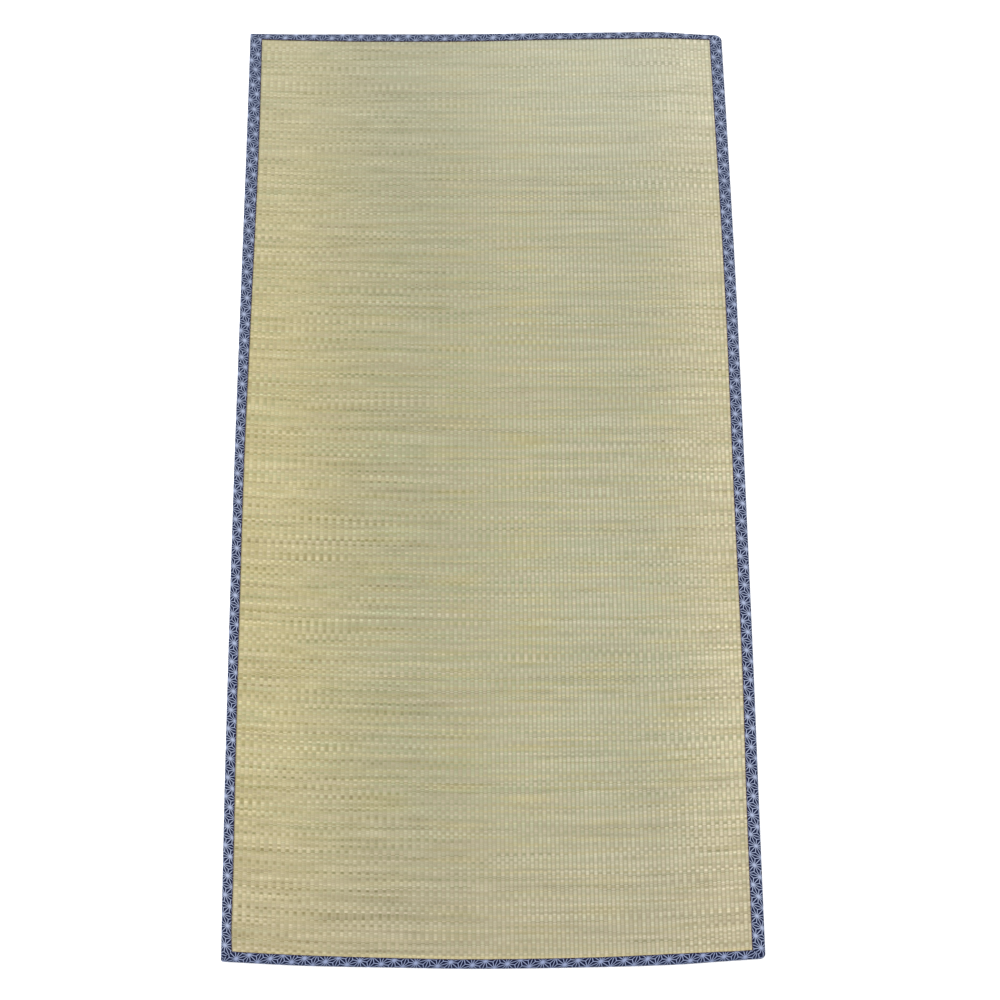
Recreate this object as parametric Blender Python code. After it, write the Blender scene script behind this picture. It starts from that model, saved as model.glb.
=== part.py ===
# A flat woven rush mat, bound along its four edges with a printed cotton tape.
#
# The mat lies on the floor as it does in use: X runs across it, Y along it from the foot to the head,
# and Z up. The origin is on the floor under the middle of the mat's bounding box. All sizes are in metres.
#
# The mat is five pieces, as it is made: one woven panel, whose ribs run from foot to head over the warp
# threads, and four lengths of tape, each folded round one edge and mitred at the corners.

import math

import bmesh
import bpy
from mathutils import Vector

# The mat's size between its corners
WIDTH = 0.860
LENGTH = 1.800

# The woven panel: its body, and the ribs raised on its upper face
RIBS = 126
BODY_THICKNESS = 0.0020
RIB_HEIGHT = 0.0008
RIB_PROFILE = (0.0, 1.0, 1.0)  # the height at a rib's start, one third and two thirds, as shares of RIB_HEIGHT

# The tape, folded round the panel's edge
TAPE_THICKNESS = 0.0010
GAP = 0.0003  # between pieces that touch

# The panel lies on the floor but for its margin, which the tape's lower leg lifts
LEVEL_MARGIN = 0.0240  # how far in from the mat's edge the margin stays level
DROP_END = 0.0600  # how far in it reaches the floor

# How far each corner lies from the nominal rectangle's, and how it is rounded
CORNERS = {
    # name: (across, along, rounding)
    "foot_left": (-0.0002, 0.0000, 0.0030),
    "foot_right": (0.0006, 0.0008, 0.0080),
    "head_right": (0.0000, -0.0052, 0.0120),
    "head_left": (0.0000, 0.0000, 0.0015),
}

# The edges are not quite straight, and the tape is not of one width. Each edge runs between two corners.
EDGES = {
    # name: (first corner, second corner, rows of (share of the edge, bulge outward, tape width))
    "left": (
        "foot_left",
        "head_left",
        (
            (0.00, 0.0000, 0.0176),
            (0.03, 0.0006, 0.0161),
            (0.08, 0.0017, 0.0172),
            (0.20, 0.0034, 0.0170),
            (0.48, 0.0043, 0.0169),
            (0.65, 0.0030, 0.0193),
            (0.85, 0.0009, 0.0225),
            (1.00, 0.0000, 0.0218),
        ),
    ),
    "right": (
        "foot_right",
        "head_right",
        (
            (0.00, 0.0000, 0.0207),
            (0.15, 0.0015, 0.0205),
            (0.28, 0.0032, 0.0189),
            (0.45, 0.0043, 0.0206),
            (0.68, 0.0050, 0.0203),
            (0.84, 0.0031, 0.0214),
            (1.00, 0.0000, 0.0225),
        ),
    ),
    "foot": (
        "foot_left",
        "foot_right",
        (
            (0.00, 0.0000, 0.0168),
            (0.15, 0.0077, 0.0167),
            (0.32, 0.0118, 0.0151),
            (0.47, 0.0145, 0.0149),
            (0.68, 0.0130, 0.0155),
            (0.83, 0.0096, 0.0173),
            (0.92, 0.0045, 0.0154),
            (1.00, 0.0000, 0.0138),
        ),
    ),
    "head": (
        "head_left",
        "head_right",
        (
            (0.00, 0.0000, 0.0137),
            (0.10, -0.0010, 0.0148),
            (0.22, -0.0004, 0.0171),
            (0.45, 0.0006, 0.0173),
            (0.62, 0.0034, 0.0159),
            (0.78, 0.0058, 0.0157),
            (0.87, 0.0066, 0.0150),
            (0.94, 0.0022, 0.0124),
            (1.00, 0.0000, 0.0118),
        ),
    ),
}

# The way out of the mat at each edge
OUTWARD = {
    "left": Vector((-1, 0)),
    "right": Vector((1, 0)),
    "foot": Vector((0, -1)),
    "head": Vector((0, 1)),
}

# The finishes: a colour and a roughness
STRAW = ((0.52, 0.46, 0.29), 0.62)
TAPE_COTTON = ((0.13, 0.15, 0.33), 0.85)

# How finely the pieces are divided
PANEL_ROWS_BETWEEN = (0.35, 0.65)  # shares of the length, besides the rows that shape the margins
TAPE_STATIONS = 18  # along the straight part of a tape
CORNER_ZONE = 0.0600  # along each end of a tape, where its sections turn towards the mitre
CORNER_STATIONS = 4  # in each such zone
BEND_STEPS = 4  # round the fold
FLAT_ANGLE = math.radians(0.02)  # faces of the underside that meet at less are one face
CREASE_ANGLE = math.radians(40)  # faces that meet at more are shaded with a crease

# Worked out from the sizes above
CREST = BODY_THICKNESS + RIB_HEIGHT
LIFT = TAPE_THICKNESS + GAP
EDGE_HEIGHT = CREST + 2 * LIFT
BEND_RADIUS = EDGE_HEIGHT / 2
PANEL_INSET = BEND_RADIUS + 7 * GAP  # the panel stops short of the tape's fold, at the rounded corners too


def clear_scene():
    for thing in list(bpy.data.objects):
        bpy.data.objects.remove(thing, do_unlink=True)


def new_material(name, colour, roughness):
    material = bpy.data.materials.new(name)
    material.use_nodes = True
    shader = material.node_tree.nodes["Principled BSDF"]
    shader.inputs["Base Color"].default_value = (*colour, 1.0)
    shader.inputs["Roughness"].default_value = roughness
    shader.inputs["Metallic"].default_value = 0.0
    return material


def corner(name):
    """A corner of the mat before it is rounded."""
    across, along, _ = CORNERS[name]
    side = 1 if name.endswith("right") else -1
    end = 1 if name.startswith("head") else -1
    return Vector((side * WIDTH / 2 + across, end * LENGTH / 2 + along))


def read_smoothly(rows, share, column):
    """The value in one column of an edge's rows at any share of the edge, on a smooth curve through them."""
    last = len(rows) - 1
    i = max(k for k in range(last) if rows[k][0] <= share or k == 0)

    def slope(k):
        before, after = rows[max(k - 1, 0)], rows[min(k + 1, last)]
        return (after[column] - before[column]) / (after[0] - before[0])

    run = rows[i + 1][0] - rows[i][0]
    t = (share - rows[i][0]) / run
    start, end = rows[i][column], rows[i + 1][column]
    leaving, arriving = slope(i) * run, slope(i + 1) * run
    bend = (t - 1) ** 2 * t * leaving + t * t * (t - 1) * arriving
    return start * (1 + 2 * t) * (1 - t) ** 2 + end * t * t * (3 - 2 * t) + bend


def edge_length(edge):
    first, second, _ = EDGES[edge]
    return (corner(second) - corner(first)).length


def tape_width(edge, distance):
    return read_smoothly(EDGES[edge][2], distance / edge_length(edge), 2)


def cut_by_rounding(distance, radius):
    """How far a rounded corner draws the edge in, at a distance from the corner."""
    if distance >= radius:
        return 0.0
    return radius - math.sqrt(max(radius**2 - (radius - distance) ** 2, 0.0))


def edge_point(edge, distance, inset, rounded=True):
    """The place at a distance along an edge from its first corner, on a line inset from the edge."""
    first, second, rows = EDGES[edge]
    start, end, length = corner(first), corner(second), edge_length(edge)
    share = distance / length
    out = read_smoothly(rows, share, 1) - inset
    if rounded:
        out -= cut_by_rounding(distance - inset, CORNERS[first][2])
        out -= cut_by_rounding(length - distance - inset, CORNERS[second][2])
    return start.lerp(end, share) + OUTWARD[edge] * out


def corner_start(name, inset):
    """The distance from a corner at which an inset line is half way round its rounding."""
    return inset + CORNERS[name][2] * (1 - math.cos(math.radians(45)))


def inset_line(edge, share, inset):
    """The place at a share of an inset line, which runs from one corner's middle to the next."""
    first, second, _ = EDGES[edge]
    start = corner_start(first, inset)
    end = edge_length(edge) - corner_start(second, inset)
    return edge_point(edge, start + (end - start) * share, inset)


def panel_place(across, along):
    """Where a point of the panel lies, from its shares across and along, between the four inset edges."""
    left, right = inset_line("left", along, PANEL_INSET), inset_line("right", along, PANEL_INSET)
    foot, head = inset_line("foot", across, PANEL_INSET), inset_line("head", across, PANEL_INSET)
    foot_left, foot_right = inset_line("left", 0, PANEL_INSET), inset_line("right", 0, PANEL_INSET)
    head_left, head_right = inset_line("left", 1, PANEL_INSET), inset_line("right", 1, PANEL_INSET)
    corners = foot_left.lerp(foot_right, across).lerp(head_left.lerp(head_right, across), along)
    return left.lerp(right, across) + foot.lerp(head, along) - corners


def margin_lift(distance):
    """The height of the panel's underside at a distance from the mat's edge."""
    dropped = (distance - LEVEL_MARGIN) / (DROP_END - LEVEL_MARGIN)
    return LIFT * (1 - min(max(dropped, 0.0), 1.0))


def finish_object(name, mesh_data, material, collection, middle):
    """Puts a mesh in the scene under its own name, moved so that the mat's middle is at the origin."""
    bmesh.ops.translate(mesh_data, verts=mesh_data.verts, vec=(-middle.x, -middle.y, 0))
    bmesh.ops.recalc_face_normals(mesh_data, faces=mesh_data.faces)
    mesh = bpy.data.meshes.new(name)
    mesh_data.to_mesh(mesh)
    mesh_data.free()
    mesh.materials.append(material)
    mesh.shade_smooth()
    mesh.set_sharp_from_angle(angle=CREASE_ANGLE)
    collection.objects.link(bpy.data.objects.new(name, mesh))


def make_panel(collection, middle):
    """The woven panel: a ribbed grid, thickened downwards, with an underside that lies on the floor."""
    reach = LENGTH - 2 * PANEL_INSET
    level, drop = (LEVEL_MARGIN - PANEL_INSET) / reach, (DROP_END - PANEL_INSET) / reach
    rows = (0.0, level, drop, *PANEL_ROWS_BETWEEN, 1 - drop, 1 - level, 1.0)
    columns = RIBS * len(RIB_PROFILE)

    mesh_data = bmesh.new()
    bmesh.ops.create_grid(mesh_data, x_segments=columns, y_segments=len(rows) - 1, size=0.5)
    underside = mesh_data.verts.layers.float.new("underside")
    for vertex in mesh_data.verts:
        column = round((vertex.co.x + 0.5) * columns)
        across = column / columns
        along = rows[round((vertex.co.y + 0.5) * (len(rows) - 1))]
        from_side = PANEL_INSET + min(across, 1 - across) * (WIDTH - 2 * PANEL_INSET)
        from_end = PANEL_INSET + min(along, 1 - along) * reach
        vertex[underside] = max(margin_lift(from_side), margin_lift(from_end))
        rib = RIB_HEIGHT * RIB_PROFILE[column % len(RIB_PROFILE)]
        vertex.co = (*panel_place(across, along), vertex[underside] + BODY_THICKNESS + rib)

    grown = bmesh.ops.extrude_face_region(mesh_data, geom=list(mesh_data.faces))["geom"]
    lower_faces = {part for part in grown if isinstance(part, bmesh.types.BMFace)}
    lower_verts = [part for part in grown if isinstance(part, bmesh.types.BMVert)]
    lower_edges = [part for part in grown if isinstance(part, bmesh.types.BMEdge)]
    for vertex in lower_verts:
        vertex.co.z = vertex[underside]
    bmesh.ops.dissolve_limit(
        mesh_data,
        angle_limit=FLAT_ANGLE,
        verts=[v for v in lower_verts if lower_faces.issuperset(v.link_faces)],
        edges=[e for e in lower_edges if lower_faces.issuperset(e.link_faces)],
    )
    finish_object("woven_panel", mesh_data, new_material("woven_stems", *STRAW), collection, middle)


def tape_section():
    """The folded tape's outline, as pairs of a depth in from the mat's edge and a height.

    A depth of None stands for the tape's whole width. The outline goes out along the upper leg, round the
    fold, in along the lower leg, and back along the inside."""

    def fold(radius, steps):
        for k in steps:
            angle = math.pi * (0.5 - k / BEND_STEPS)
            yield (BEND_RADIUS - radius * math.cos(angle), BEND_RADIUS + radius * math.sin(angle))

    outside = list(fold(BEND_RADIUS, range(BEND_STEPS + 1)))
    inside = list(fold(BEND_RADIUS - TAPE_THICKNESS, range(BEND_STEPS, -1, -1)))
    return [
        (None, EDGE_HEIGHT),
        *outside,
        (None, 0.0),
        (None, TAPE_THICKNESS),
        *inside,
        (None, EDGE_HEIGHT - TAPE_THICKNESS),
    ]


def tape_inner_point(edge, distance):
    return edge_point(edge, distance, tape_width(edge, distance), rounded=False)


def from_corner(edge, name, distance):
    """A distance along an edge, given how far it is from the corner at either of its ends."""
    return distance if EDGES[edge][0] == name else edge_length(edge) - distance


def edges_at(name):
    return [edge for edge, (first, second, _) in EDGES.items() if name in (first, second)]


def width_beside(edge, name):
    """The width of the other tape that meets this edge's tape at a corner."""
    other = next(e for e in edges_at(name) if e != edge)
    return tape_width(other, from_corner(other, name, 0.0))


def mitre(name):
    """The outer and inner ends of the mitre at a corner, half way between where its two edges put them."""
    outer, inner = Vector((0, 0)), Vector((0, 0))
    for edge in edges_at(name):
        outer += edge_point(edge, from_corner(edge, name, corner_start(name, 0.0)), 0.0) / 2
        inner += tape_inner_point(edge, from_corner(edge, name, width_beside(edge, name))) / 2
    return outer, inner


def corner_stations(edge, name):
    """The outer and inner ends of a tape's sections near a corner, from the mitre on.

    The sections turn from the line of the mitre until they stand square to the edge."""
    outer, inner = mitre(name)
    along_edge = (corner(EDGES[edge][1]) - corner(EDGES[edge][0])).normalized()
    away = along_edge if EDGES[edge][0] == name else -along_edge
    half_gap = away * GAP * math.cos(math.radians(45))
    outer_start, inner_start = corner_start(name, 0.0), width_beside(edge, name)
    stations = [(outer + half_gap, inner + half_gap)]
    for k in range(1, CORNER_STATIONS + 1):
        share = (k / CORNER_STATIONS) ** 2  # closer together at the corner, where the edge is rounded
        outer_distance = from_corner(edge, name, outer_start + (CORNER_ZONE - outer_start) * share)
        inner_distance = from_corner(edge, name, inner_start + (CORNER_ZONE - inner_start) * share)
        stations.append((edge_point(edge, outer_distance, 0.0), tape_inner_point(edge, inner_distance)))
    return stations


def tape_stations(edge):
    """The outer and inner ends of all of a tape's sections, from one mitre to the other."""
    first, second, _ = EDGES[edge]
    straight = edge_length(edge) - 2 * CORNER_ZONE
    distances = [CORNER_ZONE + straight * k / TAPE_STATIONS for k in range(1, TAPE_STATIONS)]
    between = [(edge_point(edge, d, 0.0), tape_inner_point(edge, d)) for d in distances]
    return [*corner_stations(edge, first), *between, *reversed(corner_stations(edge, second))]


def mat_middle():
    """The middle of the mat's outline, which becomes the origin."""
    places = [outer for edge in EDGES for outer, _ in tape_stations(edge)]
    across, along = [p.x for p in places], [p.y for p in places]
    return Vector(((min(across) + max(across)) / 2, (min(along) + max(along)) / 2))


def make_tape(edge, collection, middle):
    """A length of tape: its section, extruded from station to station along one edge of the mat."""
    section = tape_section()

    def places(outer, inner):
        square_width = abs((inner - outer).dot(OUTWARD[edge]))
        for depth, height in section:
            yield (*outer.lerp(inner, 1.0 if depth is None else depth / square_width), height)

    stations = tape_stations(edge)
    mesh_data = bmesh.new()
    end_face = mesh_data.faces.new([mesh_data.verts.new(place) for place in places(*stations[0])])
    for station in stations[1:]:
        end_face = bmesh.ops.extrude_discrete_faces(mesh_data, faces=[end_face])["faces"][0]
        for vertex, place in zip(end_face.verts, places(*station)):
            vertex.co = place
    bmesh.ops.holes_fill(mesh_data, edges=mesh_data.edges)  # the end that the first extrusion left open
    cotton = new_material(f"tape_cotton_{edge}", *TAPE_COTTON)
    finish_object(f"tape_{edge}", mesh_data, cotton, collection, middle)


def main():
    clear_scene()
    collection = bpy.data.collections.new("woven_rush_mat")
    bpy.context.scene.collection.children.link(collection)
    middle = mat_middle()
    make_panel(collection, middle)
    for edge in EDGES:
        make_tape(edge, collection, middle)


main()
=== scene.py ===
# %% [markdown]
# # A cattail mat: woven plant stems with a printed cotton edge
#
# The real mat is one panel of dried plant stems, woven across warp threads that run from foot to head, and
# four lengths of cotton tape, each folded round one edge and sewn down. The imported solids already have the
# mat's size, its uneven outline and its ribs. This notebook adds what the eye looks for: every stem's own
# bump and colour, the cotton's weave and print, the fold's softness and the seam.
#
# X runs across the mat, Y along it from the foot to the head, and Z up from the floor. Sizes are in
# metres.

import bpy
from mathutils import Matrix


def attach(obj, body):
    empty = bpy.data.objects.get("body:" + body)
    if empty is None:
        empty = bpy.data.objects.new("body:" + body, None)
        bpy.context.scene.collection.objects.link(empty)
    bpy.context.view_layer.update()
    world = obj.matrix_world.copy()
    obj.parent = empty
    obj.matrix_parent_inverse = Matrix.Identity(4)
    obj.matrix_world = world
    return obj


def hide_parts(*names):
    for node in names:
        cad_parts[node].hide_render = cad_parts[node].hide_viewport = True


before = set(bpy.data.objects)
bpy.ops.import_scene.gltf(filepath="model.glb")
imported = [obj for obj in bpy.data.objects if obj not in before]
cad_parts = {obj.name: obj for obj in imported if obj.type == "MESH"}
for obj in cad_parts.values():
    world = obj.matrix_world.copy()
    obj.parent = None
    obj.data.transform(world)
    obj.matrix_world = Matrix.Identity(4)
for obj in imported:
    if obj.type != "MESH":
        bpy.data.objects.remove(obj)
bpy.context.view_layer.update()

import math
from collections import namedtuple

import bpy
import numpy as np
from mathutils import Matrix, Vector

MM = 0.001

# %% [markdown]
# ## The outline
#
# No edge of a handmade mat is quite straight, and its tape isn't of one width. The solids were drawn from
# two short tables, so the same tables serve here, and the finer cloth falls exactly where the solids are.
# An edge is read on a smooth curve through its rows, for as many points at once as a mesh needs.

# %% The mat's sizes
WIDTH, LENGTH = 0.860, 1.800  # between the corners
RIBS = 126
BODY_THICKNESS = 2.0 * MM
RIB_HEIGHT = 0.8 * MM
TAPE_THICKNESS = 1.0 * MM
GAP = 0.3 * MM  # between solids that meet
LEVEL_MARGIN = 24 * MM  # the panel's margin, which lies level on the tape's lower leg
DROP_END = 60 * MM  # this far in, the panel has come down to the floor

CORNERS = {
    # name: (across, along, rounding), from the nominal rectangle's corner
    "foot_left": (-0.0002, 0.0000, 0.0030),
    "foot_right": (0.0006, 0.0008, 0.0080),
    "head_right": (0.0000, -0.0052, 0.0120),
    "head_left": (0.0000, 0.0000, 0.0015),
}

EDGES = {
    # name: (first corner, second corner, rows of (share of the edge, bulge outward, tape width))
    "left": ("foot_left", "head_left", (
        (0.00, 0.0000, 0.0176), (0.03, 0.0006, 0.0161), (0.08, 0.0017, 0.0172), (0.20, 0.0034, 0.0170),
        (0.48, 0.0043, 0.0169), (0.65, 0.0030, 0.0193), (0.85, 0.0009, 0.0225), (1.00, 0.0000, 0.0218))),
    "right": ("foot_right", "head_right", (
        (0.00, 0.0000, 0.0207), (0.15, 0.0015, 0.0205), (0.28, 0.0032, 0.0189), (0.45, 0.0043, 0.0206),
        (0.68, 0.0050, 0.0203), (0.84, 0.0031, 0.0214), (1.00, 0.0000, 0.0225))),
    "foot": ("foot_left", "foot_right", (
        (0.00, 0.0000, 0.0168), (0.15, 0.0077, 0.0167), (0.32, 0.0118, 0.0151), (0.47, 0.0145, 0.0149),
        (0.68, 0.0130, 0.0155), (0.83, 0.0096, 0.0173), (0.92, 0.0045, 0.0154), (1.00, 0.0000, 0.0138))),
    "head": ("head_left", "head_right", (
        (0.00, 0.0000, 0.0137), (0.10, -0.0010, 0.0148), (0.22, -0.0004, 0.0171), (0.45, 0.0006, 0.0173),
        (0.62, 0.0034, 0.0159), (0.78, 0.0058, 0.0157), (0.87, 0.0066, 0.0150), (0.94, 0.0022, 0.0124),
        (1.00, 0.0000, 0.0118))),
}
OUTWARD = {"left": (-1, 0), "right": (1, 0), "foot": (0, -1), "head": (0, 1)}

CREST = BODY_THICKNESS + RIB_HEIGHT
LIFT = TAPE_THICKNESS + GAP
EDGE_HEIGHT = CREST + 2 * LIFT
BEND_RADIUS = EDGE_HEIGHT / 2
FOLD_ROOM = 7 * GAP
PANEL_INSET = BEND_RADIUS + FOLD_ROOM  # the panel stops short of the fold
print("ribs", round(WIDTH / RIBS / MM, 2), "mm apart, taped edge", round(EDGE_HEIGHT / MM, 1), "mm thick")


# %% Read the edges
def corner_place(name):
    """A corner of the mat before it is rounded."""
    across, along, _ = CORNERS[name]
    side = 1 if name.endswith("right") else -1
    end = 1 if name.startswith("head") else -1
    return np.array([side * WIDTH / 2 + across, end * LENGTH / 2 + along])


def read_smoothly(rows, share, column):
    """One column of an edge's rows at many shares of the edge, on a smooth curve through the rows."""
    shares, values = np.array([row[0] for row in rows]), np.array([row[column] for row in rows])
    order = np.arange(len(rows))
    before, after = np.maximum(order - 1, 0), np.minimum(order + 1, len(rows) - 1)
    slopes = (values[after] - values[before]) / (shares[after] - shares[before])
    i = np.clip(np.searchsorted(shares, share, side="right") - 1, 0, len(rows) - 2)
    run = shares[i + 1] - shares[i]
    t = (share - shares[i]) / run
    bend = (t - 1) ** 2 * t * slopes[i] * run + t * t * (t - 1) * slopes[i + 1] * run
    return values[i] * (1 + 2 * t) * (1 - t) ** 2 + values[i + 1] * t * t * (3 - 2 * t) + bend


def edge_line(edge):
    """An edge's first corner, its direction and its length."""
    first, second, _ = EDGES[edge]
    run = corner_place(second) - corner_place(first)
    length = float(np.linalg.norm(run))
    return corner_place(first), run / length, length


def tape_width(edge, distance):
    """How wide the tape shows, at distances along its edge."""
    return read_smoothly(EDGES[edge][2], distance / edge_line(edge)[2], 2)


print("lengths of the edges:", {edge: round(edge_line(edge)[2], 4) for edge in EDGES})

# %% Round the corners
DIAGONAL = math.cos(math.radians(45))  # how far a mitre goes along either edge, as a share of its length
RIM_POINTS = 400  # read on each edge, to find the mat's middle


def cut_by_rounding(distance, radius):
    """How far a rounded corner draws the edge in, at distances from the corner."""
    inside = np.clip(radius - distance, 0, radius)
    return radius - np.sqrt(radius**2 - inside**2)


def edge_points(edge, distance, inset, rounded=True):
    """Places at distances along an edge from its first corner, on a line inset from the edge."""
    first, second, rows = EDGES[edge]
    start, direction, length = edge_line(edge)
    out = read_smoothly(rows, distance / length, 1) - inset
    if rounded:
        out = out - cut_by_rounding(distance - inset, CORNERS[first][2])
        out = out - cut_by_rounding(length - distance - inset, CORNERS[second][2])
    on_line = start + np.multiply.outer(distance, direction)
    return on_line + np.multiply.outer(out, np.array(OUTWARD[edge]))


def corner_start(name, inset):
    """The distance from a corner at which an inset line is half way round its rounding."""
    return inset + CORNERS[name][2] * (1 - DIAGONAL)


rims = [edge_points(edge, np.linspace(0, edge_line(edge)[2], RIM_POINTS), 0.0) for edge in EDGES]
rim = np.concatenate(rims)
MIDDLE = (rim.min(0) + rim.max(0)) / 2  # the mat's middle, which is the origin
print("outline", np.round(np.ptp(rim, axis=0), 4), "its middle, before it moves:", np.round(MIDDLE, 5))

# %% [markdown]
# ## Sums on shader sockets
#
# A pattern that repeats exactly, such as a weave or a print, is arithmetic on the cloth's own coordinates.
# Wiring dozens of Math nodes by hand hides that arithmetic. So a small class wraps a socket, and a Python
# expression on wrapped sockets adds the nodes. Any node that isn't a sum comes from one method, `add`.
# Materials and the sky both have a tree of nodes, so the tree is a class of its own, and a finish is a
# tree that ends in a Principled shader.


# %% A wrapped socket
class Wire:
    """One output socket. A sum on it adds a Math node to its tree."""

    def __init__(self, tree, socket):
        self.tree, self.socket = tree, socket

    def work(self, operation, *values):
        """Adds a Math node for an operation on wires and numbers, in the order given."""
        return self.tree.add("Math", {"operation": operation}, dict(enumerate(values)))

    def __add__(self, other):
        return self.work("ADD", self, other)

    def __sub__(self, other):
        return self.work("SUBTRACT", self, other)

    def __rsub__(self, other):
        return self.work("SUBTRACT", other, self)

    def __mul__(self, other):
        return self.work("MULTIPLY", self, other)

    def __truediv__(self, other):
        return self.work("DIVIDE", self, other)

    def __mod__(self, other):
        return self.work("FLOORED_MODULO", self, other)

    def __pow__(self, other):
        return self.work("POWER", self, other)

    def __gt__(self, other):
        return self.work("GREATER_THAN", self, other)

    def __abs__(self):
        return self.work("ABSOLUTE", self)

    __radd__, __rmul__ = __add__, __mul__

    def floor(self):
        return self.work("FLOOR", self)

    def least(self, other):
        return self.work("MINIMUM", self, other)

    def most(self, other):
        return self.work("MAXIMUM", self, other)

    def rise(self, start, end):
        """From 0 to 1, softly, as the value goes from start to end."""
        settings = {"interpolation_type": "SMOOTHSTEP"}
        return self.tree.add("MapRange", settings, {"Value": self, "From Min": start, "From Max": end})


print("a Wire takes + - * / % ** > and abs, and adds a Math node for each")


# %% A tree of nodes
class Tree:
    """The nodes of a material or a sky."""

    def __init__(self, owner):
        owner.use_nodes = True
        self.nodes, self.links = owner.node_tree.nodes, owner.node_tree.links

    def add(self, kind, settings, inputs, output=0):
        """Adds a node of any kind: its settings first, then the values or wires of its sockets."""
        node = self.nodes.new("ShaderNode" + kind)
        for name, value in settings.items():
            setattr(node, name, value)
        self.plug(node, inputs)
        return Wire(self, node.outputs[output])

    def plug(self, node, inputs):
        """Links each wire to a socket of the node, and sets each plain value on one."""
        for name, value in inputs.items():
            if isinstance(value, Wire):
                self.links.new(value.socket, node.inputs[name])
            else:
                node.inputs[name].default_value = value


print("a Tree adds a node of any type, from its settings and what goes into its sockets")

# %% A finish
FULLNESS, PALENESS = 0.62, 0.21  # a change of lightness works on a colour by both, at once


class Finish(Tree):
    """A material in the making, on a Principled shader."""

    def __init__(self, name):
        self.material = bpy.data.materials.new(name)
        super().__init__(self.material)
        self.shader = self.nodes["Principled BSDF"]

    def number(self, name):
        """A number that the mesh keeps at each of its points."""
        return self.add("Attribute", {"attribute_name": name}, {}, output=2)

    def place(self):
        """The three coordinates of a point of the piece."""
        point = self.add("TexCoord", {}, {}, output=3)
        return [self.add("SeparateXYZ", {}, {0: point}, output=k) for k in range(3)]

    def pair(self, x, y):
        """Two numbers as the vector that a noise reads."""
        return self.add("CombineXYZ", {}, {0: x, 1: y})

    def chance(self, x, y):
        """A number from 0 to 1 for each pair, with no likeness between neighbours."""
        return self.add("TexWhiteNoise", {"noise_dimensions": "2D"}, {"Vector": self.pair(x, y)})

    def drift(self, x, y, detail=0.0):
        """A number round 0.5 that changes softly, over about 1 of each coordinate."""
        inputs = {"Vector": self.pair(x, y), "Scale": 1.0, "Detail": detail}
        return self.add("TexNoise", {"noise_dimensions": "2D"}, inputs)

    def blend(self, first, second, share, way="MIX"):
        """One colour changed into another, or worked with it, by a share."""
        colours = {k: v if isinstance(v, Wire) else (*v, 1.0) for k, v in ((6, first), (7, second))}
        settings = {"data_type": "RGBA", "blend_type": way}
        return self.add("Mix", settings, {0: share, **colours}, output=2)

    def grey(self, value):
        """A number as a colour."""
        return self.add("CombineColor", {}, {0: value, 1: value, 2: value})

    def dim(self, colour, value):
        """A colour times a number."""
        return self.blend(colour, self.grey(value), 1.0, "MULTIPLY")

    def lighten(self, colour, change):
        """A colour made lighter and paler at once, or darker and fuller where the change is below 0."""
        dimmed = self.dim(colour, 1 + change * FULLNESS)
        return self.blend(dimmed, self.grey(change * PALENESS), 1.0, "ADD")

    def dress(self, height, distance, **inputs):
        """Plugs the shader: a bump of that height, and inputs such as Base_Color, with _ for a space."""
        bump = self.add("Bump", {}, {"Height": height, "Strength": 1.0, "Distance": distance})
        self.plug(self.shader, {"Normal": bump, **{k.replace("_", " "): v for k, v in inputs.items()}})
        return self.material


def rgb(red, green, blue):
    """A colour as a screen shows it, from 0 to 255, turned into the light that a shader works with."""
    shares = np.array([red, green, blue]) / 255
    return tuple(np.where(shares > 0.04045, ((shares + 0.055) / 1.055) ** 2.4, shares / 12.92).tolist())


print("a Finish knows chance, drift, blends and bump")

# %% [markdown]
# ## The camera, the floor and the light
#
# The camera stands beyond the mat's foot and looks down at it through a long lens, which keeps the long
# edges nearly parallel. The floor glows a little, as a light table for catalogue pictures does, so the
# thin mat's shadow is lost in its white. Two soft suns and a pale sky light the mat. Suns light the whole
# of it alike, where a lamp close by would fade along its length, and one of them leans to the left, which
# gives each rib a lighter and a darker side. Seen from low down, the sky comes into the picture. There it
# is made as white as the floor, so no horizon shows.

# %% Camera
LENS, SENSOR = 125.95, 36.0  # in millimetres
CAMERA_PLACE = (-0.0509, -2.9075, 5.2023)
TILT, YAW, ROLL = (math.radians(angle) for angle in (28.667, -1.370, 1.014))  # straight down is tilt 0

bpy.ops.object.select_all(action="DESELECT")
bpy.ops.object.camera_add(location=CAMERA_PLACE)
camera = bpy.context.object
camera.data.lens, camera.data.sensor_width = LENS, SENSOR
turn = Matrix.Rotation(YAW, 3, "Z") @ Matrix.Rotation(TILT, 3, "X") @ Matrix.Rotation(ROLL, 3, "Z")
camera.rotation_euler = turn.to_euler()
bpy.context.scene.camera = camera
print("the camera looks along", [round(x, 3) for x in turn @ Vector((0, 0, -1))])

# %% Floor and sky
FLOOR_SIZE = 24.0
FLOOR_DROP = 0.2 * MM  # a hair under the mat, so that the two never share a face
WHITE, NEAR_WHITE = (1.0, 1.0, 1.0, 1.0), (0.93, 0.93, 0.93, 1.0)
FLOOR_GLOW = 0.45
SKY_STRENGTH, SEEN_STRENGTH = 0.62, 1.2  # of the sky as a lamp, and as the camera sees it

bpy.ops.mesh.primitive_plane_add(size=FLOOR_SIZE, location=(0, 0, -FLOOR_DROP))
floor = bpy.context.object
floor.name = "floor"
white = Finish("white_floor")
white.plug(white.shader, {"Base Color": NEAR_WHITE, "Roughness": 1.0})
white.plug(white.shader, {"Emission Color": WHITE, "Emission Strength": FLOOR_GLOW})
floor.data.materials.append(white.material)

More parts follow.
